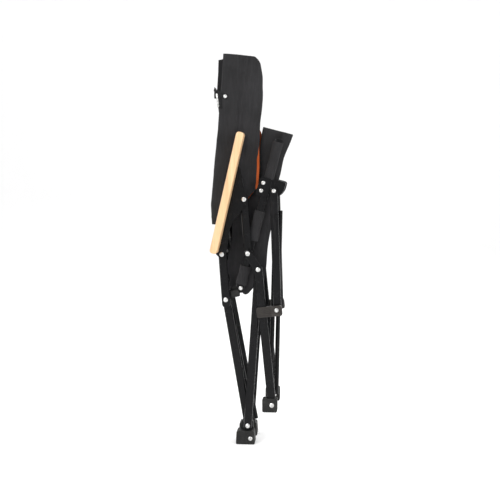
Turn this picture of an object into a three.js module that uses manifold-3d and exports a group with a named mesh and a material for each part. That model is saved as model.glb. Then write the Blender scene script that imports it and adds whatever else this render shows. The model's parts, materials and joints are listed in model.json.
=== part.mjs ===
// Folding armchair with fabric slings, shown folded flat and standing on its rear feet.
// Millimetres, +Z up, the chair's front towards +X, its near side towards -Y.
import * as THREE from "three";
import { mergeVertices, toCreasedNormals } from "three/addons/utils/BufferGeometryUtils.js";
import Module from "manifold-3d";

const wasm = await Module();
wasm.setup();
const { Manifold, Mesh: SolidMesh } = wasm;

// ---- driving dimensions -------------------------------------------------------------------
const SHIFT_X = -11.91; // moves the whole chair so that its middle stands over the origin
const TUBE_W = 22; // wide side of the flat-oval steel tube
const TUBE_T = 12; // thin side of the same tube
const WALL = 1.5;
const LEG_W = 21;
const PIN_R = 3;
const HOLE_R = 3.3;
const HEAD_R = 5.9;
const HEAD_T = 2.2;

// layers across the chair, measured outwards from its middle plane
const LAYER_A = 36; // seat rail and rear leg
const LAYER_B = 49; // back pole, arm post, rear brace and strut
const LAYER_C = 62; // front leg
const LUG_IN = 24; // inner face of the rear foot's lug
const PLATE_T = 3.4;
const CROSS_Y = 13; // the cross tubes' ends
const CROSS_R = 6;
const CROSS_STEP = 7.2; // each cross tube of a pair stands this far off the pair's middle

// pivots in the side view, [forward, up]
const REAR_FOOT = [3, 48];
const FRONT_FOOT = [67, 107];
const LEG_TOP = [-54.6, 376];
const ARM_REAR = [-64.6, 495];
const ARM_FRONT = [-6.7, 639];
const POST_FOOT = [4, 498];
const RAIL_REAR = [-18, 409];
const BRACE_TOP = [31, 457];
const STRUT_TOP = [71, 661];
const STRUT_FOOT = [80.5, 351];
const POLE_BEND = [-72.8, 624];
const POLE_TOP = [-49, 1009];
const RAIL_LENGTH = 394;
const RAIL_LEAN = 14.8; // degrees forward of upright
const ARM_LOW = [-80.5, 512];
const ARM_HIGH = [-14.5, 802];
const ARM_THICK = 20;
const ARM_WIDE = 45;

const SEAT_REACH = 30; // how far the folded seat stands out on each side of its rail
const CLOTH = 1.6;

// ---- finishes ------------------------------------------------------------------------------
const finish = (color, roughness, metalness) =>
  new THREE.MeshStandardMaterial({ color, roughness, metalness });
const PAINT = finish(0x141416, 0.32, 0.2);
const STEEL = finish(0xb8babc, 0.3, 1);
const PLASTIC = finish(0x3a3a38, 0.6, 0);
const COLLAR = finish(0x4c4845, 0.55, 0);
const WOOD = finish(0xe6c08a, 0.5, 0);
const BLACK_CLOTH = finish(0x303032, 0.95, 0);

// ---- small 2-D helpers ---------------------------------------------------------------------
const add = (a, b, k = 1) => [a[0] + b[0] * k, a[1] + b[1] * k];
const sub = (a, b) => [a[0] - b[0], a[1] - b[1]];
const unit = (v) => [v[0] / Math.hypot(...v), v[1] / Math.hypot(...v)];
const side = (v) => [v[1], -v[0]]; // a quarter turn clockwise: forward of an upward direction
const lean = (deg) => [Math.sin((deg * Math.PI) / 180), Math.cos((deg * Math.PI) / 180)];
const RAIL_DIR = lean(RAIL_LEAN);
const onRail = (along, across) => add(add(RAIL_REAR, RAIL_DIR, along), side(RAIL_DIR), across);

function rounded(points, radius) {
  const shape = new THREE.Shape();
  const n = points.length;
  for (let i = 0; i < n; i++) {
    const here = points[i];
    const back = sub(points[(i + n - 1) % n], here);
    const next = sub(points[(i + 1) % n], here);
    const reach = Math.min(radius, Math.hypot(...back) * 0.49, Math.hypot(...next) * 0.49);
    const from = add(here, unit(back), reach);
    const to = add(here, unit(next), reach);
    if (i === 0) shape.moveTo(...from);
    else shape.lineTo(...from);
    shape.quadraticCurveTo(here[0], here[1], to[0], to[1]);
  }
  shape.closePath();
  return shape;
}

// outline of a strip of constant width that follows a bent line
function strip(line, width, extend) {
  const first = unit(sub(line[0], line[1]));
  const last = unit(sub(line.at(-1), line.at(-2)));
  const path = [add(line[0], first, extend), ...line.slice(1, -1), add(line.at(-1), last, extend)];
  const edges = [[], []];
  path.forEach((p, i) => {
    const into = unit(sub(path[Math.max(i, 1)], path[Math.max(i, 1) - 1]));
    const out = unit(sub(path[Math.min(i + 1, path.length - 1)], path[Math.min(i, path.length - 2)]));
    const normal = side(unit(add(into, out)));
    const stretch = 1 / Math.max(0.5, normal[0] * side(into)[0] + normal[1] * side(into)[1]);
    edges[0].push(add(p, normal, (width / 2) * stretch));
    edges[1].unshift(add(p, normal, (-width / 2) * stretch));
  });
  return [...edges[0], ...edges[1]];
}

// ---- solids --------------------------------------------------------------------------------
function solid(geometry) {
  const bare = geometry.clone();
  bare.deleteAttribute("normal");
  bare.deleteAttribute("uv");
  const merged = mergeVertices(bare, 1e-3);
  const mesh = new SolidMesh({
    numProp: 3,
    vertProperties: new Float32Array(merged.attributes.position.array),
    triVerts: new Uint32Array(merged.index.array),
  });
  return new Manifold(mesh);
}

// a flat shape drawn in the side view, given thickness between two distances from the middle
function sheetOf(shape, hand, near, far, bevel = 0) {
  const geometry = new THREE.ExtrudeGeometry(shape, {
    depth: far - near - 2 * bevel, curveSegments: 4, bevelEnabled: bevel > 0,
    bevelThickness: bevel, bevelSize: bevel, bevelOffset: -bevel, bevelSegments: 2,
  });
  geometry.rotateX(Math.PI / 2);
  geometry.translate(0, hand > 0 ? far - bevel : -near - bevel, 0);
  return solid(geometry);
}

function rod(centre, radius, hand, near, far, segments = 24) {
  const geometry = new THREE.CylinderGeometry(radius, radius, far - near, segments);
  geometry.translate(centre[0], (hand * (near + far)) / 2, centre[1]);
  return solid(geometry);
}

function box(x, y, z, centre) {
  const geometry = new THREE.BoxGeometry(x, y, z);
  geometry.translate(...centre);
  return solid(geometry);
}

// a hollow flat-oval tube, open at both ends
function tube(line, hand, layer, width = TUBE_W, extend = TUBE_W / 2, holes = []) {
  const far = layer + TUBE_T;
  let body = sheetOf(rounded(strip(line, width, extend), width * 0.42), hand, layer, far, 3.6);
  const inside = strip(line, width - 2 * WALL - 2, extend + 8);
  body = body.subtract(sheetOf(rounded(inside, 0.5), hand, layer + WALL, far - WALL));
  for (const hole of holes) body = body.subtract(rod(hole, HOLE_R, hand, layer - 5, far + 5));
  return body;
}

function rivet(centre, hand, near, far) {
  const low = near - HEAD_T;
  const high = far + HEAD_T;
  const outline = [
    [0, low], [HEAD_R * 0.6, low + 0.2], [HEAD_R, near - 0.9], [HEAD_R, near - 0.3], [PIN_R, near - 0.3],
    [PIN_R, far + 0.3], [HEAD_R, far + 0.3], [HEAD_R, far + 0.9], [HEAD_R * 0.6, high - 0.2], [0, high],
  ].map(([r, h]) => new THREE.Vector2(r, h));
  const geometry = new THREE.LatheGeometry(outline, 20);
  if (hand < 0) geometry.rotateX(Math.PI);
  geometry.translate(centre[0], 0, centre[1]);
  return solid(geometry);
}

const group = new THREE.Group();
function place(name, body, material) {
  const mesh = body.getMesh();
  const geometry = new THREE.BufferGeometry();
  geometry.setAttribute("position", new THREE.BufferAttribute(new Float32Array(mesh.vertProperties), 3));
  geometry.setIndex(new THREE.BufferAttribute(new Uint32Array(mesh.triVerts), 1));
  geometry.translate(SHIFT_X, 0, 0);
  const shown = toCreasedNormals(geometry, 0.7);
  const item = new THREE.Mesh(shown, material);
  item.name = name;
  group.add(item);
}

// ---- one side frame, made twice --------------------------------------------------------------
function sideFrame(tag, hand) {
  const put = (name, body, material) => place(`${tag}_${name}`, body, material);
  const railTop = onRail(RAIL_LENGTH, 0);

  // rear foot: a block with an inner lug that carries both rear tubes
  const [fx, fz] = REAR_FOOT;
  const blockTop = fz - TUBE_W / 2 - 2;
  let foot = sheetOf(rounded([[fx - 31, 0], [fx + 19, 0], [fx + 17, blockTop], [fx - 29, blockTop]], 5),
    hand, LUG_IN, 64, 1.5);
  const lug = [[fx - 24, 10], [fx + 13, 10], [fx + 13, fz + 12], [fx - 18, fz + 12]];
  foot = foot.add(sheetOf(rounded(lug, 11), hand, LUG_IN, LAYER_A - 0.5));
  put("rear_foot", foot.subtract(rod(REAR_FOOT, HOLE_R, hand, 20, 70)), PLASTIC);
  put("rear_foot_rivet", rivet(REAR_FOOT, hand, LUG_IN, LAYER_B + TUBE_T), STEEL);

  put("rear_leg", tube([LEG_TOP, REAR_FOOT], hand, LAYER_A, LEG_W, 10.5, [LEG_TOP, REAR_FOOT]), PAINT);
  put("rear_brace", tube([BRACE_TOP, REAR_FOOT], hand, LAYER_B, LEG_W, 10.5, [REAR_FOOT]), PAINT);

  // seat rail with the moulded end that hangs it on the rear leg
  put("seat_rail", tube([RAIL_REAR, railTop], hand, LAYER_A, TUBE_W, 8), PAINT);
  const toward = unit(sub(RAIL_REAR, LEG_TOP));
  const neck = [add(LEG_TOP, toward, 19), add(RAIL_REAR, RAIL_DIR, -17)];
  let connector = sheetOf(rounded(strip([LEG_TOP, add(RAIL_REAR, toward, -2)], 23, 11), 10), hand, 30, 35.6);
  connector = connector.add(sheetOf(rounded(strip(neck, 18, 2), 3), hand, 33, LAYER_A + TUBE_T, 1));
  put("rear_connector", connector.subtract(rod(LEG_TOP, HOLE_R, hand, 20, 70)), PLASTIC);
  put("rear_leg_rivet", rivet(LEG_TOP, hand, 30, LAYER_B + TUBE_T), STEEL);

  // front bracket: a plate riveted over the rail, with a block behind the strut's top
  const along = (STRUT_TOP[0] - RAIL_REAR[0]) * RAIL_DIR[0] + (STRUT_TOP[1] - RAIL_REAR[1]) * RAIL_DIR[1];
  const outer = LAYER_A + TUBE_T + 0.3;
  const plateShape = [onRail(along - 22, -24), onRail(along - 22, 6), onRail(along - 14, 9.5),
    onRail(along + 14, 9.5), onRail(along + 28, 11), onRail(along + 28, -21)];
  const blockShape = [onRail(along - 12, 11.6), onRail(along - 12, 38), onRail(along + 6, 47),
    onRail(along + 30, 47), onRail(along + 30, 11.6)];
  const tongue = [onRail(along - 10, 0), onRail(along - 10, 14), onRail(along + 26, 14), onRail(along + 26, 0)];
  const bracket = sheetOf(rounded(plateShape, 9), hand, outer, outer + PLATE_T)
    .add(sheetOf(rounded(tongue, 1), hand, outer, LAYER_B - 0.2))
    .add(sheetOf(rounded(blockShape, 8), hand, LAYER_A, LAYER_B - 0.2));
  put("front_bracket", bracket, PAINT);
  put("strut", tube([STRUT_FOOT, STRUT_TOP], hand, LAYER_B, LEG_W, 10), PAINT);

  // front leg, bent at the brace pivot, with its foot and the sliding collar
  put("front_leg", tube([POST_FOOT, BRACE_TOP, FRONT_FOOT], hand, LAYER_C, TUBE_W, 10.5,
    [POST_FOOT, BRACE_TOP, FRONT_FOOT]), PAINT);
  for (const [name, at] of [["post_rivet", POST_FOOT], ["brace_rivet", BRACE_TOP]])
    put(name, rivet(at, hand, LAYER_C + 2, LAYER_C + TUBE_T).subtract(
      rod(at, 10, hand, LAYER_C - 5, LAYER_C + 2)), STEEL);
  const [gx, gz] = FRONT_FOOT;
  const shoe = rounded([[gx - 25, gz - 19], [gx + 14, gz - 19], [gx + 14, gz + 17], [gx - 25, gz + 17]], 5);
  let frontFoot = sheetOf(shoe, hand, LAYER_C - 9, LAYER_C + TUBE_T + 6, 1.2);
  frontFoot = frontFoot.subtract(box(90, TUBE_T + 1, 80,
    [gx, hand * (LAYER_C + TUBE_T / 2), gz - TUBE_W / 2 - 1.5 + 40]));
  put("front_foot", frontFoot.subtract(rod(FRONT_FOOT, HOLE_R, hand, 40, 90)), PLASTIC);
  put("front_foot_rivet", rivet(FRONT_FOOT, hand, LAYER_C - 9, LAYER_C + TUBE_T + 6), STEEL);

  const legDir = unit(sub(BRACE_TOP, FRONT_FOOT));
  const reach = sub(STRUT_FOOT, BRACE_TOP);
  const down = -(reach[0] * legDir[0] + reach[1] * legDir[1]);
  const onLeg = (t, n) => add(add(BRACE_TOP, legDir, -t), side(legDir), n);
  const offset = reach[0] * side(legDir)[0] + reach[1] * side(legDir)[1];
  const outline = [onLeg(down + 14, -15), onLeg(down + 14, offset + 13), onLeg(down - 12.5, offset + 13),
    onLeg(down - 13, -15)];
  let collar = sheetOf(rounded(outline, 6), hand, LAYER_C - 0.6, LAYER_C + TUBE_T + 4, 1);
  const channel = rounded(strip([onLeg(down + 40, 0), onLeg(down - 40, 0)], TUBE_W + 1, 0), 0.5);
  collar = collar.subtract(sheetOf(channel, hand, LAYER_C - 3, LAYER_C + TUBE_T + 0.5));
  put("strut_collar", collar, COLLAR);

  // back pole and armrest
  put("back_pole", tube([add(LEG_TOP, unit(sub(LEG_TOP, ARM_REAR)), 12), POLE_BEND, POLE_TOP], hand, LAYER_B,
    TUBE_W, 8, [LEG_TOP, ARM_REAR]), PAINT);
  put("arm_rear_rivet", rivet(ARM_REAR, hand, LAYER_B, LAYER_C + PLATE_T), STEEL);
  const armDir = unit(sub(ARM_HIGH, ARM_LOW));
  const onArm = (t, n) => add(add(ARM_LOW, armDir, t), side(armDir), n);
  const web = [onArm(-4, -8), add(ARM_REAR, [-11, -5]), add(ARM_REAR, [1, -12]), add(ARM_REAR, [12, 1]),
    onArm(62, 25), add(ARM_FRONT, [5, -13]), add(ARM_FRONT, [13, 4]), add(ARM_FRONT, [3, 15]),
    onArm(232, 9), onArm(232, -8)];
  let plate = sheetOf(rounded(web, 9), hand, LAYER_C, LAYER_C + PLATE_T);
  for (const at of [ARM_REAR, ARM_FRONT]) plate = plate.subtract(rod(at, HOLE_R, hand, 40, 90));
  put("arm_bracket", plate, PAINT);
  const board = rounded(strip([ARM_LOW, ARM_HIGH], ARM_THICK, 12), 8.5);
  const armIn = LAYER_C + PLATE_T + 0.3;
  let wood = sheetOf(board, hand, armIn, armIn + ARM_WIDE, 4);
  wood = wood.subtract(rod(ARM_REAR, HEAD_R + 0.8, hand, armIn - 2, armIn + 4));
  put("arm_wood", wood, WOOD);
  put("arm_post", tube([POST_FOOT, ARM_FRONT], hand, LAYER_B, LEG_W, 10.5, [ARM_FRONT]), PAINT);
  put("arm_front_rivet", rivet(ARM_FRONT, hand, LAYER_B, LAYER_C + PLATE_T), STEEL);
}
sideFrame("near", -1);
sideFrame("far", 1);

// ---- cross tubes between the two sides -------------------------------------------------------
const CROSS_FRONT = { low: [67, 118], high: [79, 606] };
const CROSS_REAR = { low: [12, 52], high: [-78, 540] };
function crossTube(name, ends, hand, step) {
  const from = new THREE.Vector3(ends.low[0] + step, hand * CROSS_Y, ends.low[1]);
  const to = new THREE.Vector3(ends.high[0] + step, -hand * CROSS_Y, ends.high[1]);
  const length = from.distanceTo(to);
  const make = (radius, extra) => {
    const geometry = new THREE.CylinderGeometry(radius, radius, length + extra, 20);
    const turn = new THREE.Quaternion().setFromUnitVectors(new THREE.Vector3(0, 1, 0),
      to.clone().sub(from).normalize());
    geometry.applyQuaternion(turn);
    geometry.translate(...from.clone().add(to).multiplyScalar(0.5).toArray());
    return solid(geometry);
  };
  place(name, make(CROSS_R, 4).subtract(make(CROSS_R - WALL, 40)), PAINT);
}
for (const [tag, hand] of [["near", -1], ["far", 1]]) {
  crossTube(`${tag}_front_cross_tube`, CROSS_FRONT, hand, hand * CROSS_STEP);
  crossTube(`${tag}_rear_cross_tube`, CROSS_REAR, hand, hand * CROSS_STEP);
}

// runners on the back poles that carry the upper ends of the rear cross tubes
for (const [tag, hand] of [["near", -1], ["far", 1]]) {
  const poleDir = unit(sub(POLE_BEND, LEG_TOP));
  const t = CROSS_REAR.high[1] - LEG_TOP[1];
  const centre = add(LEG_TOP, poleDir, t);
  const shape = rounded(strip([add(centre, poleDir, -13), add(centre, poleDir, 13)], 26, 0), 5);
  const groove = rounded(strip([add(centre, poleDir, -30), add(centre, poleDir, 30)], 15, 0), 1);
  const runner = sheetOf(shape, hand, LAYER_A - 3, LAYER_B - 0.4, 1)
    .subtract(sheetOf(groove, hand, LAYER_B - 4, LAYER_B + 2));
  place(`${tag}_pole_runner`, runner, PLASTIC);
}

// ---- slings, folded in pleats between the two sides ---------------------------------------------
function panel(name, corners, hand, depthAt) {
  // corners: four points in the side view; depthAt gives the distance from the middle plane
  const position = [];
  for (const shiftY of [-CLOTH / 2, CLOTH / 2])
    for (const [x, z] of corners) position.push(x, hand * (depthAt([x, z]) + shiftY * hand), z);
  const quad = (a, b, c, d) => [a, b, c, a, c, d];
  let index = [...quad(3, 2, 1, 0), ...quad(4, 5, 6, 7)];
  for (let i = 0; i < 4; i++) index.push(...quad(i, (i + 1) % 4, ((i + 1) % 4) + 4, i + 4));
  const geometry = new THREE.BufferGeometry();
  geometry.setAttribute("position", new THREE.Float32BufferAttribute(position, 3));
  geometry.setIndex(index);
  let body = new Manifold(new SolidMesh({ numProp: 3,
    vertProperties: new Float32Array(position), triVerts: new Uint32Array(index) }));
  if (body.volume() < 0) {
    for (let i = 0; i < index.length; i += 3) [index[i], index[i + 1]] = [index[i + 1], index[i]];
    body = new Manifold(new SolidMesh({ numProp: 3,
      vertProperties: new Float32Array(position), triVerts: new Uint32Array(index) }));
  }
  place(name, body, BLACK_CLOTH);
}

const BACK_LOW = [-60, 580];
const BACK_HIGH = [-33, 1008];
const FOLD_LOW = [26, 655];
const FOLD_HIGH = [36, 1004];
const HEM = [-78, 572];
const HEM_TOP = [-56, 1004];
const between = (a, b, k) => add(a, sub(b, a), k);
for (const [tag, hand] of [["near", -1], ["far", 1]]) {
  // back: out to the front pleat, then back to the seam in the middle
  const outer = [BACK_LOW, FOLD_LOW, FOLD_HIGH, BACK_HIGH];
  const ramp = (from, to, a, b) => ([x]) => from + ((to - from) * (x - a)) / (b - a);
  panel(`${tag}_back_sling_outer`, outer, hand, ramp(45, 36, -60, 36));
  const inner = [HEM, between(HEM, FOLD_LOW, 0.94), between(HEM_TOP, FOLD_HIGH, 0.94), HEM_TOP];
  panel(`${tag}_back_sling_inner`, inner, hand, ramp(1.6, 33, -78, 36));
  // seat: forward, back, and forward again to the seam
  const seatPart = (name, a, b, ya, yb) => {
    const corners = [onRail(26, a), onRail(26, b), onRail(RAIL_LENGTH + 14, b), onRail(RAIL_LENGTH + 14, a)];
    const depth = ([x, z]) => {
      const q = (x - RAIL_REAR[0]) * RAIL_DIR[1] - (z - RAIL_REAR[1]) * RAIL_DIR[0];
      return ya + ((yb - ya) * (q - a)) / (b - a);
    };
    panel(`${tag}_${name}`, corners, hand, depth);
  };
  seatPart("seat_sling_outer", 2, SEAT_REACH, 33.5, 30);
  seatPart("seat_sling_middle", SEAT_REACH - 2, -SEAT_REACH, 26.5, 17);
  seatPart("seat_sling_inner", -SEAT_REACH + 2, SEAT_REACH, 14, 1.4);
}

// webbing loop and hook that hold the folded chair together, on the near back pole
const hook = rounded([[-85.6, 903], [-67.5, 903], [-67.5, 911], [-75.6, 912], [-75.6, 916],
  [-80.6, 916], [-80.6, 930], [-85.6, 930]], 2);
place("strap_hook", sheetOf(hook, -1, LAYER_B + 1, LAYER_B + 6), PLASTIC);

export default group;
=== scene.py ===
# %% [markdown]
# # A folding armchair, folded flat
# The steel frame, its feet and the armrests come as a ready-made model whose pieces are already in
# place. This notebook loads that frame, gives every part its finish, and sews the two cloth slings,
# which hang in pleats between the side frames. Everything is in metres and +Z points up.

# %% Load the frame
import json
import math
import bpy
import bmesh
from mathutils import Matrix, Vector, noise


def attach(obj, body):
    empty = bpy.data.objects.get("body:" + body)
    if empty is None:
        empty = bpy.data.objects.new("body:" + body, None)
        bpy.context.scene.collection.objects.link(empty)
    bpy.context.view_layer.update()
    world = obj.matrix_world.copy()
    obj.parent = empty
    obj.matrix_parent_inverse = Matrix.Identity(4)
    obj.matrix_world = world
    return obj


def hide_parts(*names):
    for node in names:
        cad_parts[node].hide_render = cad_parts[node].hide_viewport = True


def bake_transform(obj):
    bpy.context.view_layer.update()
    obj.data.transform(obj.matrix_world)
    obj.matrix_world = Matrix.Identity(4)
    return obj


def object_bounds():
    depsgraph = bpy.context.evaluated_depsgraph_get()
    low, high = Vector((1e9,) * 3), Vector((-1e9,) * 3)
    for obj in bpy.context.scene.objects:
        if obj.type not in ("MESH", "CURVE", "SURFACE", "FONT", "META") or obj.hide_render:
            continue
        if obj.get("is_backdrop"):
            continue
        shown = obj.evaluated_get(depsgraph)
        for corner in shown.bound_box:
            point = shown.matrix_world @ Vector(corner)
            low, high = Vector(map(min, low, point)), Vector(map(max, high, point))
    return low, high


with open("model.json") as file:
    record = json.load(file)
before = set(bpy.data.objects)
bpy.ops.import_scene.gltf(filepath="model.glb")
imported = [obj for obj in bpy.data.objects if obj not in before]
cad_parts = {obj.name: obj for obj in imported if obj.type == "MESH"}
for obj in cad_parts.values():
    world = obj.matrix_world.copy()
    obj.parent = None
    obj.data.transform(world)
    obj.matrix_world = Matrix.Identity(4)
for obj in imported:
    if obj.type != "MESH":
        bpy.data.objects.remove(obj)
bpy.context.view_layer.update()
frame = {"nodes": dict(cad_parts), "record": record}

# %% [markdown]
# ## Camera, light and floor
# A folded chair is tall and thin. The camera stays level, with the lens shifted down a little, as for
# a building, so that the tubes don't lean towards one another. The floor is a roll of white paper that
# curves up behind the chair, so no horizon shows.
# Large soft lights and a pale world give black steel narrow bright edges without hard shadows.

# %% Camera
focus = Vector((-0.0036, -0.05, 0.72))
azimuth, distance, middle_height = math.radians(4.6), 2.62, 0.506
eye = Vector((focus.x + math.sin(azimuth) * distance, focus.y - math.cos(azimuth) * distance, focus.z))
camera = bpy.data.objects.new("camera", bpy.data.cameras.new("camera"))
bpy.context.collection.objects.link(camera)
camera.location = eye
camera.rotation_euler = (focus - eye).to_track_quat("-Z", "Y").to_euler()
camera.data.lens = 72.0
camera.data.shift_y = (middle_height - focus.z) / (distance * 36 / camera.data.lens)
bpy.context.scene.camera = camera
print("camera at", [round(v, 2) for v in eye])

# %% Floor and lights
sweep = bpy.data.meshes.new("floor")
sheet_form = bmesh.new()
BEND_START, BEND_RADIUS = 3.0, 2.5
quarter = [math.pi / 2 * k / 12 for k in range(1, 13)]
profile = [(-9.0, 0.0), (BEND_START, 0.0)]
profile += [(BEND_START + BEND_RADIUS * math.sin(a), BEND_RADIUS * (1 - math.cos(a))) for a in quarter]
profile += [(BEND_START + BEND_RADIUS, 9.0)]
rails = [[sheet_form.verts.new((x, y, z)) for y, z in profile] for x in (-12, 12)]
for k in range(len(profile) - 1):
    sheet_form.faces.new((rails[0][k], rails[1][k], rails[1][k + 1], rails[0][k + 1])).smooth = True
sheet_form.to_mesh(sweep)
sheet_form.free()
floor = bpy.data.objects.new("floor", sweep)
bpy.context.collection.objects.link(floor)
paper = bpy.data.materials.new("white paper")
paper.use_nodes = True
paper_inputs = paper.node_tree.nodes["Principled BSDF"].inputs
paper_inputs["Base Color"].default_value = (0.93, 0.93, 0.93, 1)
paper_inputs["Roughness"].default_value = 0.9
paper_inputs["Emission Color"].default_value = (1, 1, 1, 1)
paper_inputs["Emission Strength"].default_value = 0.07
sweep.materials.append(paper)
floor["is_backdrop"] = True


def soft_light(name, at, aim, size, power):
    lamp = bpy.data.objects.new(name, bpy.data.lights.new(name, "AREA"))
    lamp.data.size, lamp.data.energy = size, power
    lamp.location = at
    lamp.rotation_euler = (Vector(aim) - Vector(at)).to_track_quat("-Z", "Y").to_euler()
    bpy.context.collection.objects.link(lamp)


soft_light("front softbox", (-1.6, -2.6, 2.2), (0, 0, 0.55), 1.6, 62)
soft_light("right softbox", (2.4, -1.2, 1.5), (0, 0, 0.5), 1.2, 34)
soft_light("rear softbox", (0.6, 2.4, 2.4), (0, 0, 0.6), 1.8, 40)
world = bpy.data.worlds.new("studio")
bpy.context.scene.world = world
world.use_nodes = True
world.node_tree.nodes["Background"].inputs["Color"].default_value = (1, 1, 1, 1)
world.node_tree.nodes["Background"].inputs["Strength"].default_value = 0.85
bpy.context.scene.view_settings.view_transform = "Standard"
print("three soft lights and a white world")

# %% [markdown]
# ## Shader sums written as sums
# A finish is easier to read as arithmetic than as a web of nodes. `Wire` wraps one socket, and each
# operator adds the Math node that does it. `Finish.node` makes any other node: its type, its
# settings first, then the values or wires of its sockets.

# %% The wire and the finish
class Wire:
    def __init__(self, finish, socket):
        self.finish, self.socket = finish, socket

    def _sum(self, operation, first, second):
        return self.finish.node("ShaderNodeMath", {"operation": operation}, {0: first, 1: second})

    def __add__(self, other): return self._sum("ADD", self, other)
    def __radd__(self, other): return self._sum("ADD", other, self)
    def __mul__(self, other): return self._sum("MULTIPLY", self, other)
    def __gt__(self, other): return self._sum("GREATER_THAN", self, other)


class Finish:
    def __init__(self, name, metallic=0.0, **constants):
        self.material = bpy.data.materials.new(name)
        self.material.use_nodes = True
        self.tree = self.material.node_tree
        self.shader = self.tree.nodes["Principled BSDF"]
        self.shader.inputs["Metallic"].default_value = metallic
        for socket, value in constants.items():
            self.shader.inputs[socket.replace("_", " ")].default_value = value

    def put(self, socket, value):
        if isinstance(value, Wire):
            self.tree.links.new(value.socket, socket)
        elif hasattr(value, "__len__") and len(value) == 3 and socket.type == "RGBA":
            socket.default_value = (*value, 1)
        else:
            socket.default_value = value

    def node(self, kind, settings=None, values=None, out=0):
        made = self.tree.nodes.new(kind)
        for key, value in (settings or {}).items():
            if key == "stops":
                ramp = made.color_ramp
                while len(ramp.elements) < len(value):
                    ramp.elements.new(0.5)
                for element, (place, colour) in zip(ramp.elements, value):
                    element.position, element.color = place, (*colour, 1)
            else:
                setattr(made, key, value)
        for key, value in (values or {}).items():
            self.put(made.inputs[key], value)
        return Wire(self, made.outputs[out])

    def place(self, stretch=(1, 1, 1), turn=(0, 0, 0)):
        where = self.node("ShaderNodeTexCoord", out="Object")
        return self.node("ShaderNodeMapping", {}, {"Vector": where, "Scale": stretch, "Rotation": turn})

    def noise(self, scale, detail=3.0, where=None, rough=0.55):
        values = {"Scale": scale, "Detail": detail, "Roughness": rough}
        values["Vector"] = where or self.place()
        return self.node("ShaderNodeTexNoise", {}, values)

    def shade(self, amount, low, high):
        values = {"Factor": amount, 6: low, 7: high}
        return self.node("ShaderNodeMix", {"data_type": "RGBA"}, values, out=2)

    def between(self, value, low, high):
        return self.node("ShaderNodeMapRange", {}, {0: value, 1: low, 2: high, 3: 0.0, 4: 1.0})

    def finish(self, colour, roughness, height=None, strength=0.2, distance=0.001):
        self.put(self.shader.inputs["Base Color"], colour)
        self.put(self.shader.inputs["Roughness"], roughness)
        if height is not None:
            values = {"Height": height, "Strength": strength, "Distance": distance}
            self.put(self.shader.inputs["Normal"], self.node("ShaderNodeBump", {}, values))
        return self.material


print("shader helpers ready")

# %% [markdown]
# ## Powder-coated steel
# The tubes are sprayed with powder and baked. The coat is a near-black that is almost glossy, with a
# fine orange-peel surface and a few dull, greyish rubs here and there.

# %% Black powder coat
def powder_coat():
    coat = Finish("black powder coat", Specular_IOR_Level=0.16)
    peel = coat.noise(900, 2)
    dust = coat.between(coat.noise(26, 6), 0.52, 0.78)
    rub = coat.between(coat.noise(60, 5, coat.place((1, 1, 0.12))), 0.62, 0.74)
    tone = coat.shade(dust * 0.6, (0.0035, 0.0035, 0.004), (0.009, 0.009, 0.010))
    tone = coat.shade(rub * 0.25, tone, (0.024, 0.023, 0.022))
    return coat.finish(tone, 0.24 + dust * 0.14 + rub * 0.15, peel, 0.08, 0.0003)


# %% [markdown]
# ## Zinc-plated rivets
# Each pivot is a tubular rivet pressed flat. Its plating is bright, slightly yellow-grey, with faint
# stains and small dents.

# %% Bright rivet steel
def rivet_steel():
    zinc = Finish("zinc plate", metallic=1.0)
    stain = zinc.noise(180, 5)
    dents = zinc.noise(700, 2)
    tone = zinc.shade(zinc.between(stain, 0.35, 0.7), (0.42, 0.42, 0.41), (0.80, 0.80, 0.79))
    return zinc.finish(tone, 0.22 + stain * 0.25, dents, 0.25, 0.0006)


# %% [markdown]
# ## Moulded plastic
# The feet and the rail ends are glass-filled nylon: dark grey, matte, with a spark-eroded grain and
# paler patches of bloom. The sliding collars are the same plastic in a warmer, lighter grey.

# %% Grained nylon
def nylon(name, deep, pale, roughness):
    grain_finish = Finish(name, Specular_IOR_Level=0.22)
    grain = grain_finish.noise(1500, 3)
    bloom = grain_finish.between(grain_finish.noise(45, 6), 0.42, 0.75)
    speck = grain_finish.noise(620, 2) > 0.63
    tone = grain_finish.shade(bloom * 0.8, deep, pale)
    tone = grain_finish.shade(speck * 0.25, tone, tuple(min(1, c * 2.1) for c in pale))
    return grain_finish.finish(tone, roughness + bloom * 0.12, grain, 0.35, 0.0005)


# %% [markdown]
# ## Lacquered wood
# The armrests are pale rubberwood under clear lacquer. Long thin pores and soft bands run along the
# board, so every texture is stretched along its length before it is turned to the board's lean.

# %% Pale lacquered wood
ARM_LEAN = math.atan2(0.066, 0.290)


def armrest_wood():
    wood = Finish("lacquered rubberwood", Coat_Weight=0.35, Coat_Roughness=0.22)
    along = wood.place((1, 1, 0.06), (0, -ARM_LEAN, 0))
    bands = wood.noise(42, 4, along)
    pores = wood.noise(420, 3, wood.place((1, 1, 0.035), (0, -ARM_LEAN, 0)))
    fibre = wood.between(pores, 0.52, 0.70)
    stops = [(0.30, (0.58, 0.345, 0.170)), (0.50, (0.70, 0.450, 0.240)), (0.70, (0.77, 0.525, 0.300))]
    tone = wood.node("ShaderNodeValToRGB", {"stops": stops}, {0: bands})
    tone = wood.shade(fibre * 0.34, tone, (0.44, 0.235, 0.10))
    return wood.finish(tone, 0.40 + fibre * 0.15, bands + pores * 0.6, 0.14, 0.0006)


# %% [markdown]
# ## Woven cloth
# The slings are heavy polyester canvas. Real threads are about half a millimetre across, so the weave
# is two crossed waves in the bump, with lint and a broad fading that shows on folded cloth.

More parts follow.
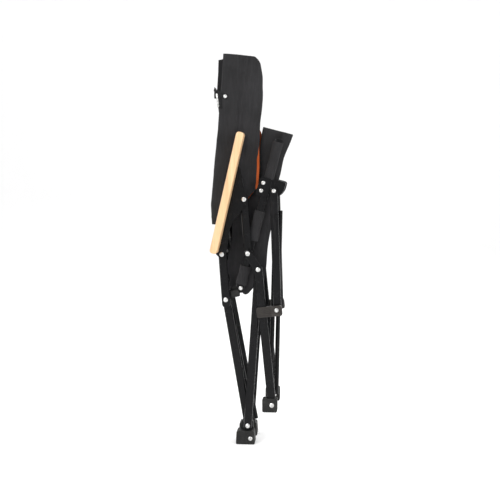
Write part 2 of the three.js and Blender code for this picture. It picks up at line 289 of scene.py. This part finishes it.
# %% Canvas in any colour
def canvas(name, deep, lit, weave=420.0, sheen=0.06):
    cloth = Finish(name, Sheen_Weight=sheen, Sheen_Roughness=0.5, Specular_IOR_Level=0.2)
    waves = []
    for direction in ("X", "Z"):
        settings = {"wave_type": "BANDS", "bands_direction": direction, "wave_profile": "SIN"}
        values = {"Vector": cloth.place(), "Scale": weave, "Distortion": 0.4, "Detail": 1.0}
        waves.append(cloth.node("ShaderNodeTexWave", settings, values))
    threads = waves[0] * 0.5 + waves[1] * 0.5
    lint = cloth.noise(520, 3)
    fade = cloth.between(cloth.noise(13, 5), 0.35, 0.70)
    slub = cloth.between(cloth.noise(240, 3, cloth.place((1, 1, 0.1))), 0.45, 0.75)
    tone = cloth.shade(fade * 0.55 + slub * 0.25 + threads * 0.2, deep, lit)
    tone = cloth.shade((lint > 0.66) * 0.3, tone, tuple(min(1, c * 1.7) for c in lit))
    return cloth.finish(tone, 0.86 + lint * 0.1, threads + slub * 0.8 + lint * 0.5, 0.5, 0.0006)


# %% Mix every finish once
PAINT, STEEL = powder_coat(), rivet_steel()
NYLON = nylon("dark grey nylon", (0.010, 0.010, 0.0095), (0.027, 0.027, 0.026), 0.50)
COLLAR = nylon("warm grey nylon", (0.024, 0.021, 0.019), (0.050, 0.045, 0.041), 0.45)
WOOD = armrest_wood()
BLACK = canvas("black canvas", (0.013, 0.0128, 0.0135), (0.031, 0.030, 0.032))
ORANGE = canvas("orange canvas", (0.34, 0.060, 0.010), (0.55, 0.13, 0.035))
TAPE = canvas("black webbing", (0.006, 0.006, 0.0065), (0.018, 0.018, 0.019), weave=260.0)
for node_name, slot_name in [(s["node"], s["material_slot"]) for s in frame["record"]["subparts"]]:
    finish = {"paint": PAINT, "steel": STEEL, "plastic": NYLON, "collar": COLLAR, "wood": WOOD,
              "cloth": BLACK}[slot_name]
    item = frame["nodes"][node_name]
    item = bpy.data.objects[item] if isinstance(item, str) else item
    item.data.materials.clear()
    item.data.materials.append(finish)

# %% [markdown]
# ## Small parts from rings
# Rivet heads, ribs, ribbons and stitches are all rings of points joined into a skin.

# %% Join rings and make the piece
def close_rings(form, rings):
    sides = len(rings[0])
    for one, two in zip(rings, rings[1:]):
        for n in range(sides):
            form.faces.new((one[n], one[(n + 1) % sides], two[(n + 1) % sides], two[n])).smooth = True
    form.faces.new(rings[0][::-1])
    form.faces.new(rings[-1])


def make_piece(name, form, material):
    bmesh.ops.recalc_face_normals(form, faces=form.faces)
    mesh = bpy.data.meshes.new(name)
    form.to_mesh(mesh)
    form.free()
    mesh.materials.append(material)
    piece = bpy.data.objects.new(name, mesh)
    bpy.context.collection.objects.link(piece)
    return piece


print("ring helpers ready")

# %% [markdown]
# ## Where the cloth goes
# Both slings hang between the side frames, so their places come from the frame's own parts: the
# back pole and the seat rail. A pleat is described in that part's own directions, `up` along the
# metal and `out` towards the chair's front, plus the distance from the chair's middle.

# %% Lines the cloth follows
MIDDLE = -0.01191  # the frame is drawn about a point this far from the box's centre
POLE_BEND = Vector((MIDDLE - 0.0728, 0, 0.624))
POLE_TOP = Vector((MIDDLE - 0.049, 0, 1.009))
RAIL_REAR = Vector((MIDDLE - 0.018, 0, 0.409))
POLE_UP = (POLE_TOP - POLE_BEND).normalized()
LEG_TOP = Vector((MIDDLE - 0.0546, 0, 0.376))
RAIL_LEAN = math.radians(14.8)
RAIL_UP = Vector((math.sin(RAIL_LEAN), 0, math.cos(RAIL_LEAN)))
POLE_DEPTH, RAIL_DEPTH = 0.055, 0.042  # from the chair's middle plane to the tubes' centres
CLOTH = 0.0016


def ahead(up):
    return Vector((up.z, 0, -up.x))


def smooth(low, high, value):
    t = min(1.0, max(0.0, (value - low) / (high - low)))
    return t * t * (3 - 2 * t)


def ripple(point, scale, seed):
    return noise.noise(Vector((point.x * scale, point.y * scale * 0.4, point.z * scale * 0.45 + seed * 7.3)))


print("pole leans", round(math.degrees(math.atan2(POLE_UP.x, POLE_UP.z)), 1), "degrees")

# %% [markdown]
# ## Turning a formula into cloth
# A cloth piece is a grid of points given by one function of two numbers, then a Solidify modifier
# gives it thickness. Solidify can give its two skins different materials, which is how one panel of
# the back is black on one side and orange on the other.

# %% A sheet from a function
def sew(name, spot, rows, columns, thickness, materials, turned=False, bound=2.0):
    # from u = bound on, both faces take the third material, a band of binding tape
    mesh = bpy.data.meshes.new(name)
    grid = bmesh.new()
    points = [[grid.verts.new(spot(i / (rows - 1), j / (columns - 1))) for j in range(columns)]
              for i in range(rows)]
    for i in range(rows - 1):
        for j in range(columns - 1):
            corners = (points[i][j], points[i][j + 1], points[i + 1][j + 1], points[i + 1][j])
            face = grid.faces.new(corners[::-1] if turned else corners)
            face.smooth, face.material_index = True, 2 if (j + 0.5) / (columns - 1) > bound else 0
    grid.to_mesh(mesh)
    grid.free()
    piece = bpy.data.objects.new(name, mesh)
    bpy.context.collection.objects.link(piece)
    for material in materials:
        mesh.materials.append(material)
    solid = piece.modifiers.new("cloth thickness", "SOLIDIFY")
    solid.thickness, solid.offset = thickness, 0
    solid.material_offset = 1 if len(materials) > 1 else 0
    solid.material_offset_rim = 0
    return piece


def settle(piece):
    # applies the modifiers, so the piece is a finished mesh
    depsgraph = bpy.context.evaluated_depsgraph_get()
    finished = bpy.data.meshes.new_from_object(piece.evaluated_get(depsgraph))
    piece.modifiers.clear()
    piece.data = finished


def flat_size(spot, rows=40, columns=40):
    step = [[Vector(spot(i / rows, j / columns)) for j in range(columns + 1)] for i in range(rows + 1)]
    across = [sum((row[j + 1] - row[j]).length for j in range(columns)) for row in step]
    up = [sum((step[i + 1][j] - step[i][j]).length for i in range(rows)) for j in range(columns + 1)]
    area = sum((step[i][j + 1] - step[i][j]).cross(step[i + 1][j] - step[i][j]).length
               for i in range(rows) for j in range(columns))
    return max(across), max(up), area


print("sewing helpers ready")

# %% [markdown]
# ## Sleeves round the poles and rails
# Each sling ends in a long pocket pulled over the metal. The pocket is a little looser than the tube,
# so it wrinkles: short ridges run across it where it is pulled, and it is thicker in a band where
# its ends are turned over. No stitches are made on these bands.

# %% A wrinkled pocket
HALF_WIDE, HALF_THICK = 0.0112, 0.0060  # of the tube inside


def pocket(name, line, up, depth, low, high, seed, bands, closed_top=False, slack=0.0):
    out = ahead(up)

    def spot(v, u):
        angle = u * 2 * math.pi
        along = low + (high - low) * v
        foot = line(along)
        wave = ripple(Vector((math.cos(angle), math.sin(angle), along * 20)), 1.1, seed)
        fine = ripple(Vector((math.cos(angle) * 2, math.sin(angle) * 2, along * 90)), 1.0, seed + 3)
        loose = 0.0006 + 0.0012 * (0.5 + wave) + 0.0005 * fine
        for band in bands:
            loose += 0.0009 * (1 - smooth(0.010, 0.013, abs(along - band)))
        if closed_top:
            shut = smooth(high - 0.012, high, along)
            loose -= shut * shut * HALF_THICK * 0.85
        ex, ey = math.cos(angle), math.sin(angle)
        square = 1 / max(1e-6, (abs(ex) ** 2.6 + abs(ey) ** 2.6) ** (1 / 2.6))
        spare = slack * smooth(high, low, along) * (ex < 0)
        place = foot + out * (ex * square * (HALF_WIDE + loose + spare))
        return (place.x, depth + ey * square * (HALF_THICK + loose), place.z)

    rows = max(24, int((high - low) / 0.0035))
    piece = sew(name, spot, rows, 41, 0.0011, [BLACK])
    weld = piece.modifiers.new("close the tube", "WELD")
    weld.merge_threshold = 0.0001
    piece.modifiers.move(1, 0)
    return piece


def pole_line(along):
    # the pole is bent: below the bend it leans the other way
    if along < 0:
        return POLE_BEND + (POLE_BEND - LEG_TOP).normalized() * along
    return POLE_BEND + POLE_UP * along


def rail_line(along):
    return RAIL_REAR + RAIL_UP * along


sleeves = {}
for tag, hand in (("near", -1), ("far", 1)):
    top = (POLE_TOP - POLE_BEND).length + 0.0095
    sleeves[tag, "back"] = pocket(f"{tag}_back_sleeve", pole_line, POLE_UP, hand * POLE_DEPTH,
                                  -0.048, top, 3 + hand, (-0.040,), True, 0.008)
    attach(sleeves[tag, "back"], f"{tag}_back_pole")
    for number, (low, high) in enumerate(((0.006, 0.056), (0.126, 0.206), (0.268, 0.3925))):
        piece = pocket(f"{tag}_seat_sleeve_{number + 1}", rail_line, RAIL_UP, hand * RAIL_DEPTH,
                       low, high, 11 + number + hand, (low + 0.007, high - 0.007))
        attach(piece, f"{tag}_seat_rail")
        sleeves[tag, number] = piece
print("sleeves:", len(sleeves))

# %% [markdown]
# ## The back sling
# Folded, the back doubles forward into one big pleat on each side: out from the pole to a rounded
# front fold, then back to the middle. Each half is two separate pieces that meet along the front
# fold, so that each can open as the sides spread. The halves aren't sewn together, and a narrow gap
# stays between them. The back is black outside and orange inside. The far
# inner panel is turned over, so that its orange shows beside the near half while the chair is folded;
# the price is that it shows black in front when the chair is open.

# %% Edges of the back pleat
BACK_LENGTH = (POLE_TOP - POLE_BEND).length
# how far the front fold stands ahead of the pole, from the bottom, 0, to the top, 1
FRONT_FOLD = ((0.00, 0.0985), (0.15, 0.0985), (0.25, 0.0965), (0.33, 0.0940), (0.40, 0.0938), (0.46, 0.0934),
              (0.51, 0.0931), (0.55, 0.0940), (0.61, 0.0954), (0.68, 0.0959), (0.73, 0.0955), (0.78, 0.0938),
              (0.86, 0.0920), (0.927, 0.0870), (0.96, 0.0840), (0.985, 0.0790), (1.0, 0.0735))


def eased_between(pairs, v):
    # value at v on a list of (place, value) pairs, with slopes that match at every pair
    k = max(0, min(len(pairs) - 2, sum(1 for p in pairs if p[0] <= v) - 1))

    def slope(n):
        before, after = pairs[max(n - 1, 0)], pairs[min(n + 1, len(pairs) - 1)]
        return (after[1] - before[1]) / (after[0] - before[0])

    (x0, y0), (x1, y1) = pairs[k], pairs[k + 1]
    wide = x1 - x0
    t = min(1.0, max(0.0, (v - x0) / wide))
    return ((1 + 2 * t) * (1 - t) ** 2 * y0 + t * (1 - t) ** 2 * wide * slope(k)
            + t * t * (3 - 2 * t) * y1 + t * t * (t - 1) * wide * slope(k + 1))


def back_fold(v, hand):
    # distance of the front fold ahead of the pole: widest at the headrest, pinched near the seat;
    # the far half is tucked in above the armrest and shows a little of its lining below
    tucked = 0.0085 * smooth(0.42, 0.49, v) * (hand > 0)
    return eased_between(FRONT_FOLD, v) - tucked


def back_height(u, v):
    # the lower hem climbs from the pole to the front fold; the top hem is nearly straight
    low = -0.052 + 0.100 * smooth(0.12, 1.0, u)
    high = BACK_LENGTH + 0.0105 - 0.0015 * u - 0.004 * smooth(0.88, 1.0, u)
    return low + (high - low) * v


def back_outer(hand):
    # starts at the pole's rear edge, lies over its outer face, then runs in to the front fold
    def spot(v, u):
        along = back_height(u, v)
        foot = pole_line(along)
        rear = -0.0125 - 0.0090 * smooth(0.65, 0.0, v)
        reach = rear + (back_fold(v, hand) - rear) * (1 - (1 - u) ** 1.25)
        steep = smooth(0.36, 0.22, v)
        run = smooth(0.012, 0.055 - 0.022 * steep, reach)
        depth = 0.0622 - (0.0080 + 0.0062 * steep) * run - 0.016 * smooth(0.3, 1.0, u)
        depth -= 0.0035 * smooth(0.93, 1.0, u) + 0.0035 * smooth(0.07, 0.0, u)
        middle = math.sin(u * math.pi)
        wave = ripple(Vector((reach * 3.2, 0, along)), 16, hand) * 0.0048 * middle
        wave += ripple(Vector((reach * 9.0, 0, along * 0.5)), 26, hand + 2) * 0.0030 * middle
        crease = 0.0026 * math.exp(-((reach - 0.028 - 0.02 * v) / 0.004) ** 2) * smooth(0.45, 0.8, v)
        crease -= 0.0026 * math.exp(-((reach - 0.045 + 0.015 * v) / 0.006) ** 2) * smooth(0.3, 0.7, v)
        crease += 0.0018 * math.exp(-((along - 0.375 + 0.05 * u) / 0.004) ** 2) * middle
        hem = 0.0005 * (smooth(0.040, 0.036, (1 - v) * 0.43) - 0.5) * (v > 0.9)
        place = foot + ahead(POLE_UP) * reach
        return (place.x, hand * (depth + (wave + crease) * (1 - steep * 0.6) + hem), place.z)
    return spot


def back_inner(hand):
    def spot(v, u):
        along = back_height(1 - 0.75 * u, v) - 0.011 * smooth(0.7, 1.0, u) * smooth(0.8, 1.0, v)
        foot = pole_line(along)
        seam = -0.016 - 0.014 * smooth(0.55, 0.80, v) - 0.001 * smooth(0.9, 1.0, v)
        reach = back_fold(v, hand) + (seam - back_fold(v, hand)) * u ** 1.1
        depth = 0.0345 + (0.0014 - 0.0345) * smooth(0.0, 1.0, u) ** 0.8
        wave = ripple(Vector((reach * 3.0, 0.5, along)), 20, hand + 4) * 0.0030 * math.sin(u * math.pi)
        place = foot + ahead(POLE_UP) * reach
        return (place.x, hand * (depth + wave), place.z)
    return spot


# %% [markdown]
# Each piece has its modifiers applied, its flat cut measured and printed, and its transform baked, and the
# model's own sling part is hidden. The two points at each piece's fold ends lie straight ahead of one
# another, near the fold lines, but nothing uses them.

# %% Sew and hang the back
def hang(piece, ends, replaced, spot):
    settle(piece)
    wide, long, area = flat_size(spot)
    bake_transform(piece)
    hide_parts(replaced)
    print(f"{piece.name}: cut {wide:.3f} x {long:.3f} m, {len(piece.data.polygons)} faces")


BACK_ENDS = [(0.0, 0.087), (0.091, -0.014)]
SEAT_ENDS = [(0.004, 0.026), (0.030, -0.030), (-0.030, 0.030)]
ENDS_HEIGHT = 0.2  # along the pole or rail; any height gives the same turn


def fold_ends(reaches, line, up, depth):
    places = [line(ENDS_HEIGHT) + ahead(up) * reach for reach in reaches]
    return [(place.x, depth, place.z) for place in places]


def back_ends(number, hand):
    return fold_ends(BACK_ENDS[number], pole_line, POLE_UP, hand * (0.045, 0.02)[number])


def seat_ends(number, hand):
    return fold_ends(SEAT_ENDS[number], rail_line, RAIL_UP, hand * 0.03)


for tag, hand in (("near", -1), ("far", 1)):
    outer, inner = back_outer(hand), back_inner(hand)
    piece = sew(f"{tag}_back_cloth_outer", outer, 120, 30, CLOTH, [BLACK, ORANGE], turned=hand > 0)
    hang(piece, back_ends(0, hand),
         f"{tag}_back_sling_outer", outer)
    piece = sew(f"{tag}_back_cloth_inner", inner, 120, 30, CLOTH, [BLACK, ORANGE, TAPE, TAPE], bound=0.76)
    hang(piece, back_ends(1, hand),
         f"{tag}_back_sling_inner", inner)

# %% [markdown]
# ## The seat sling
# The seat is black on both sides. Folded, it pleats three times on each side: forward of the rail,
# back behind it, and forward again to the middle, where a narrow gap stays between the halves.

# %% Seat pleats
SEAT_LOW, SEAT_HIGH = -0.006, 0.422
SEAT_FOLDS = (0.004, 0.037, -0.037, 0.037)
SEAT_DEPTHS = (0.0355, 0.0290, 0.0180, 0.0014)


def seat_reach(fold, v):
    # the pleats spread at the front hem, are pinched by the bracket and spread again low down
    if abs(fold) < 0.01:
        return fold
    pinch = 0.013 * math.exp(-((v - 0.66) / 0.13) ** 2)
    if fold > 0:
        spread = 0.016 * math.exp(-((v - 0.10) / 0.16) ** 2) - 0.006 * smooth(0.72, 1.0, v)
        hollow = 0.0105 * math.exp(-((v - 0.84) / 0.10) ** 2)
        return 0.0375 - pinch + spread - hollow - 0.020 * smooth(0.09, 0.0, v)
    spread = 0.014 * math.exp(-((v - 0.44) / 0.12) ** 2) + 0.012 * smooth(0.72, 1.0, v)
    low = 0.013 * smooth(0.02, 0.12, v) * smooth(0.46, 0.34, v)
    return -(0.0385 - pinch + spread + low - 0.008 * smooth(0.12, 0.0, v))


def seat_pleat(hand, number):
    def spot(v, u):
        along = SEAT_LOW + (SEAT_HIGH - SEAT_LOW) * v
        a, b = SEAT_FOLDS[number], SEAT_FOLDS[number + 1]
        across_a, across_b = seat_reach(a, v) * (0.965 if number else 1), seat_reach(b, v)
        across_a *= 0.88 if number == 1 and hand > 0 else 1
        across_b *= 0.88 if number == 0 and hand > 0 else 1
        across_b -= 0.006 * (hand > 0 and b < 0) * smooth(0.08, 0.16, v) * smooth(0.50, 0.36, v)
        eased = 0.5 - 0.5 * math.cos(u * math.pi)
        across = across_a + (across_b - across_a) * (0.6 * u + 0.4 * eased)
        depth = SEAT_DEPTHS[number] + (SEAT_DEPTHS[number + 1] - SEAT_DEPTHS[number]) * eased
        wave = ripple(Vector((across * 3, number, along)), 24, hand + number) * 0.0018 * math.sin(u * math.pi)
        sag = -0.012 * smooth(0.06, 0.0, v) * math.sin(u * math.pi)
        place = rail_line(along + sag) + ahead(RAIL_UP) * across
        return (place.x, hand * (depth + wave), place.z)
    return spot


chain = ("seat_rail", "seat_pleat_1", "seat_pleat_2", "seat_seam")
solids = ("seat_sling_outer", "seat_sling_middle", "seat_sling_inner")
for tag, hand in (("near", -1), ("far", 1)):
    for number in range(3):
        spot = seat_pleat(hand, number)
        outward = number != 1 and hand > 0 or number == 1 and hand < 0
        piece = sew(f"{tag}_seat_cloth_{number + 1}", spot, 110, 18, CLOTH, [BLACK, BLACK], outward)
        hang(piece, seat_ends(number, hand),
             f"{tag}_{solids[number]}", spot)

# %% [markdown]
# ## The smaller rivets
# The main pivots came with the frame. The fixed rivets, which only hold a bracket or a plug, are
# lower domes with a turned rim and a shallow dimple, so they are spun from a short profile.

# %% A domed rivet head
def rivet_head(name, at, hand, depth, body, radius=0.0056):
    profile = [(0.0, 0.0011), (0.26, 0.00115), (0.36, 0.0019), (0.62, 0.0018), (0.86, 0.0012),
               (0.97, 0.0005), (1.0, 0.0), (0.6, 0.0)]
    form = bmesh.new()
    turns = 28
    rings = []
    for share, height in profile:
        ring = []
        for k in range(turns if share else 1):
            angle = 2 * math.pi * k / turns
            ring.append(form.verts.new((at[0] + radius * share * math.cos(angle), hand * (depth + height),
                                        at[1] + radius * share * math.sin(angle))))
        rings.append(ring)
    for inner, outer in zip(rings, rings[1:]):
        for k in range(turns):
            n = (k + 1) % turns
            corners = [inner[k % len(inner)], inner[n % len(inner)], outer[n], outer[k]]
            corners = corners[:1] + corners[2:] if len(inner) == 1 else corners
            form.faces.new(corners if hand > 0 else corners[::-1]).smooth = True
    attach(make_piece(name, form, STEEL), body)


def spot_on_rail(along, across):
    place = rail_line(along) + ahead(RAIL_UP) * across
    return place.x, place.z


for tag, hand in (("near", -1), ("far", 1)):
    heads = {
        "rail_end": ((MIDDLE - 0.0165, 0.4055), 0.0483, "seat_rail"),
        "bracket_upper": (spot_on_rail(0.2795, -0.0108), 0.0517, "seat_rail"),
        "bracket_lower": (spot_on_rail(0.2585, -0.0108), 0.0517, "seat_rail"),
        "strut_top": ((MIDDLE + 0.071, 0.661), 0.0610, "strut"),
        "strut_collar": ((MIDDLE + 0.0790, 0.3525), 0.0780, "strut_collar"),
        "rear_foot_block": ((MIDDLE + 0.010, 0.0155), 0.0640, "rear_foot"),
    }
    for name, (at, depth, body) in heads.items():
        rivet_head(f"{tag}_{name}_rivet_head", at, hand, depth, f"{tag}_{body}")
print("rivet heads:", 2 * len(heads))

# %% [markdown]
# ## Grip ribs on the sliding collar
# The collar that guides the strut along the front leg has five moulded ribs around its outer face, to
# give fingers a grip. Each rib is a low bead with tapered ends, and one mesh holds all five.

# %% Five ribs on each collar
LEG_BEND = Vector((MIDDLE + 0.031, 0, 0.457))
LEG_FOOT = Vector((MIDDLE + 0.067, 0, 0.107))


def grip_ribs(tag, hand):
    form = bmesh.new()
    leg = (LEG_BEND - LEG_FOOT).normalized()
    out = ahead(leg)
    middle = LEG_BEND - leg * 0.1095
    for number in range(5):
        rings = []
        for share in [k / 16 for k in range(17)]:
            taper = math.sqrt(max(0.02, 1 - (2 * share - 1) ** 6))
            bow = 0.0012 * math.sin(share * math.pi)
            at = middle + leg * (0.0088 - 0.0044 * number + bow) + out * (-0.0125 + 0.0385 * share)
            at.y = hand * 0.0780
            rings.append([form.verts.new(at + leg * (0.0013 * math.cos(t) * taper)
                                         + Vector((0, hand * 0.0011 * math.sin(t) * taper, 0)))
                          for t in [math.pi * 2 * n / 10 for n in range(10)]])
        close_rings(form, rings)
    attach(make_piece(f"{tag}_collar_ribs", form, COLLAR), f"{tag}_strut_collar")


grip_ribs("near", -1)
grip_ribs("far", 1)
print("grip ribs on both collars")

# %% [markdown]
# ## Carrying strap and snap
# A short loop of webbing is sewn to the rear edge of the back's pocket. It holds a steel tongue and a
# bright snap, and its tail hangs down a little. Webbing is a ribbon with a rounded section, so each
# piece is a ribbon swept along a few points.

# %% A webbing ribbon
def ribbon(name, path, width, thickness, material, across):
    form = bmesh.new()
    points = []
    for a, b in zip(path, path[1:]):
        for k in range(10):
            points.append(Vector(a).lerp(Vector(b), k / 10))
    points.append(Vector(path[-1]))
    for _ in range(6):
        inside = [(p + q * 2 + r) / 4 for p, q, r in zip(points, points[1:], points[2:])]
        points = [points[0]] + inside + [points[-1]]
    section = [(math.cos(a), math.sin(a)) for a in [2 * math.pi * k / 12 for k in range(12)]]
    rings = []
    for k, point in enumerate(points):
        tangent = (points[min(k + 1, len(points) - 1)] - points[max(k - 1, 0)]).normalized()
        side = across.normalized()
        normal = tangent.cross(side).normalized()
        rings.append([form.verts.new(point + side * (width / 2 * math.copysign(abs(c) ** 0.5, c))
                                     + normal * (thickness / 2 * math.copysign(abs(d) ** 0.7, d)))
                      for c, d in section])
    close_rings(form, rings)
    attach(make_piece(name, form, material), "near_back_pole")


rear = pole_line(0.285).x - 0.0145  # the pocket's rear edge at the strap's height
FLAT_WAY = Vector((1, 0, 0.1))
ribbon("strap_loop", [(rear + 0.020, -0.0645, 0.905), (rear + 0.004, -0.0665, 0.912),
                      (rear - 0.010, -0.0610, 0.920), (rear - 0.0155, -0.0530, 0.928)],
       0.011, 0.0022, TAPE, Vector((0.25, 0, 1)))
ribbon("strap_tail", [(rear - 0.006, -0.0640, 0.918), (rear - 0.003, -0.0655, 0.900),
                      (rear + 0.001, -0.0650, 0.878)], 0.009, 0.0018, TAPE, FLAT_WAY)
ribbon("strap_tongue", [(rear - 0.008, -0.0665, 0.915), (rear - 0.006, -0.0675, 0.898),
                        (rear - 0.004, -0.0660, 0.880)], 0.0045, 0.0014, STEEL, FLAT_WAY)
rivet_head("strap_snap", (rear + 0.014, 0.908), -1, 0.0655, "near_back_pole", 0.0052)
print("strap loop, tail, tongue and snap")

# %% [markdown]
# ## Stitching
# The hems of the back and the front hem of the seat are held by rows of stitches. A stitch is a small
# rounded bead of thread, two or three millimetres long, that sinks into the cloth at both ends, and
# one mesh holds a whole row.

# %% Rows of stitches
STITCH_LIFT, STITCH_SIZE = 0.0011, 0.00034


def stitches(name, route, count, hand):
    form = bmesh.new()
    for k in range(count):
        a, b = Vector(route((k + 0.16) / count)), Vector(route((k + 0.84) / count))
        run = b - a
        side = run.cross(Vector((0, 1, 0))).normalized()
        out = Vector((0, hand, 0))
        rings = []
        for share, girth in ((0.0, 0.25), (0.2, 0.9), (0.5, 1.0), (0.8, 0.9), (1.0, 0.25)):
            centre = a + run * share + out * (STITCH_LIFT - 0.0005 * (2 * share - 1) ** 2)
            turns = [math.pi * 2 * n / 6 for n in range(6)]
            spokes = [(side * math.cos(t) + out * math.sin(t)) * STITCH_SIZE * girth for t in turns]
            rings.append([form.verts.new(centre + spoke) for spoke in spokes])
        close_rings(form, rings)
    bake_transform(make_piece(name, form, THREAD))


THREAD = canvas("black thread", (0.010, 0.010, 0.011), (0.040, 0.040, 0.042), weave=900.0)
for tag, hand in (("near", -1), ("far", 1)):
    outer = back_outer(hand)
    ends = (f"{tag}_back_pole", f"{tag}_back_pleat"), back_ends(0, hand)
    stitches(f"{tag}_back_top_stitches", lambda t: outer(0.966, 0.06 + 0.88 * t), 26, hand)
    stitches(f"{tag}_back_low_stitches", lambda t: outer(0.030, 0.06 + 0.88 * t), 26, hand)
    stitches(f"{tag}_back_seam_stitches", lambda t: outer(0.04 + 0.92 * t, 0.335), 96, hand)
    for number in range(3):
        pleat = seat_pleat(hand, number)
        ends = (f"{tag}_{chain[number]}", f"{tag}_{chain[number + 1]}"), seat_ends(number, hand)
        name = f"{tag}_seat_hem_stitches_{number + 1}"
        stitches(name, lambda t: pleat(0.972, 0.05 + 0.9 * t), 16, hand)
print("stitch rows:", 2 * (3 + 3))

# %% [markdown]
# ## Closing the notebook
# The last cell measures the finished chair's box and prints it.

# %% Measure and finish
low, high = (list(corner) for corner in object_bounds())
print("looks box", [round(v, 4) for v in low + high])
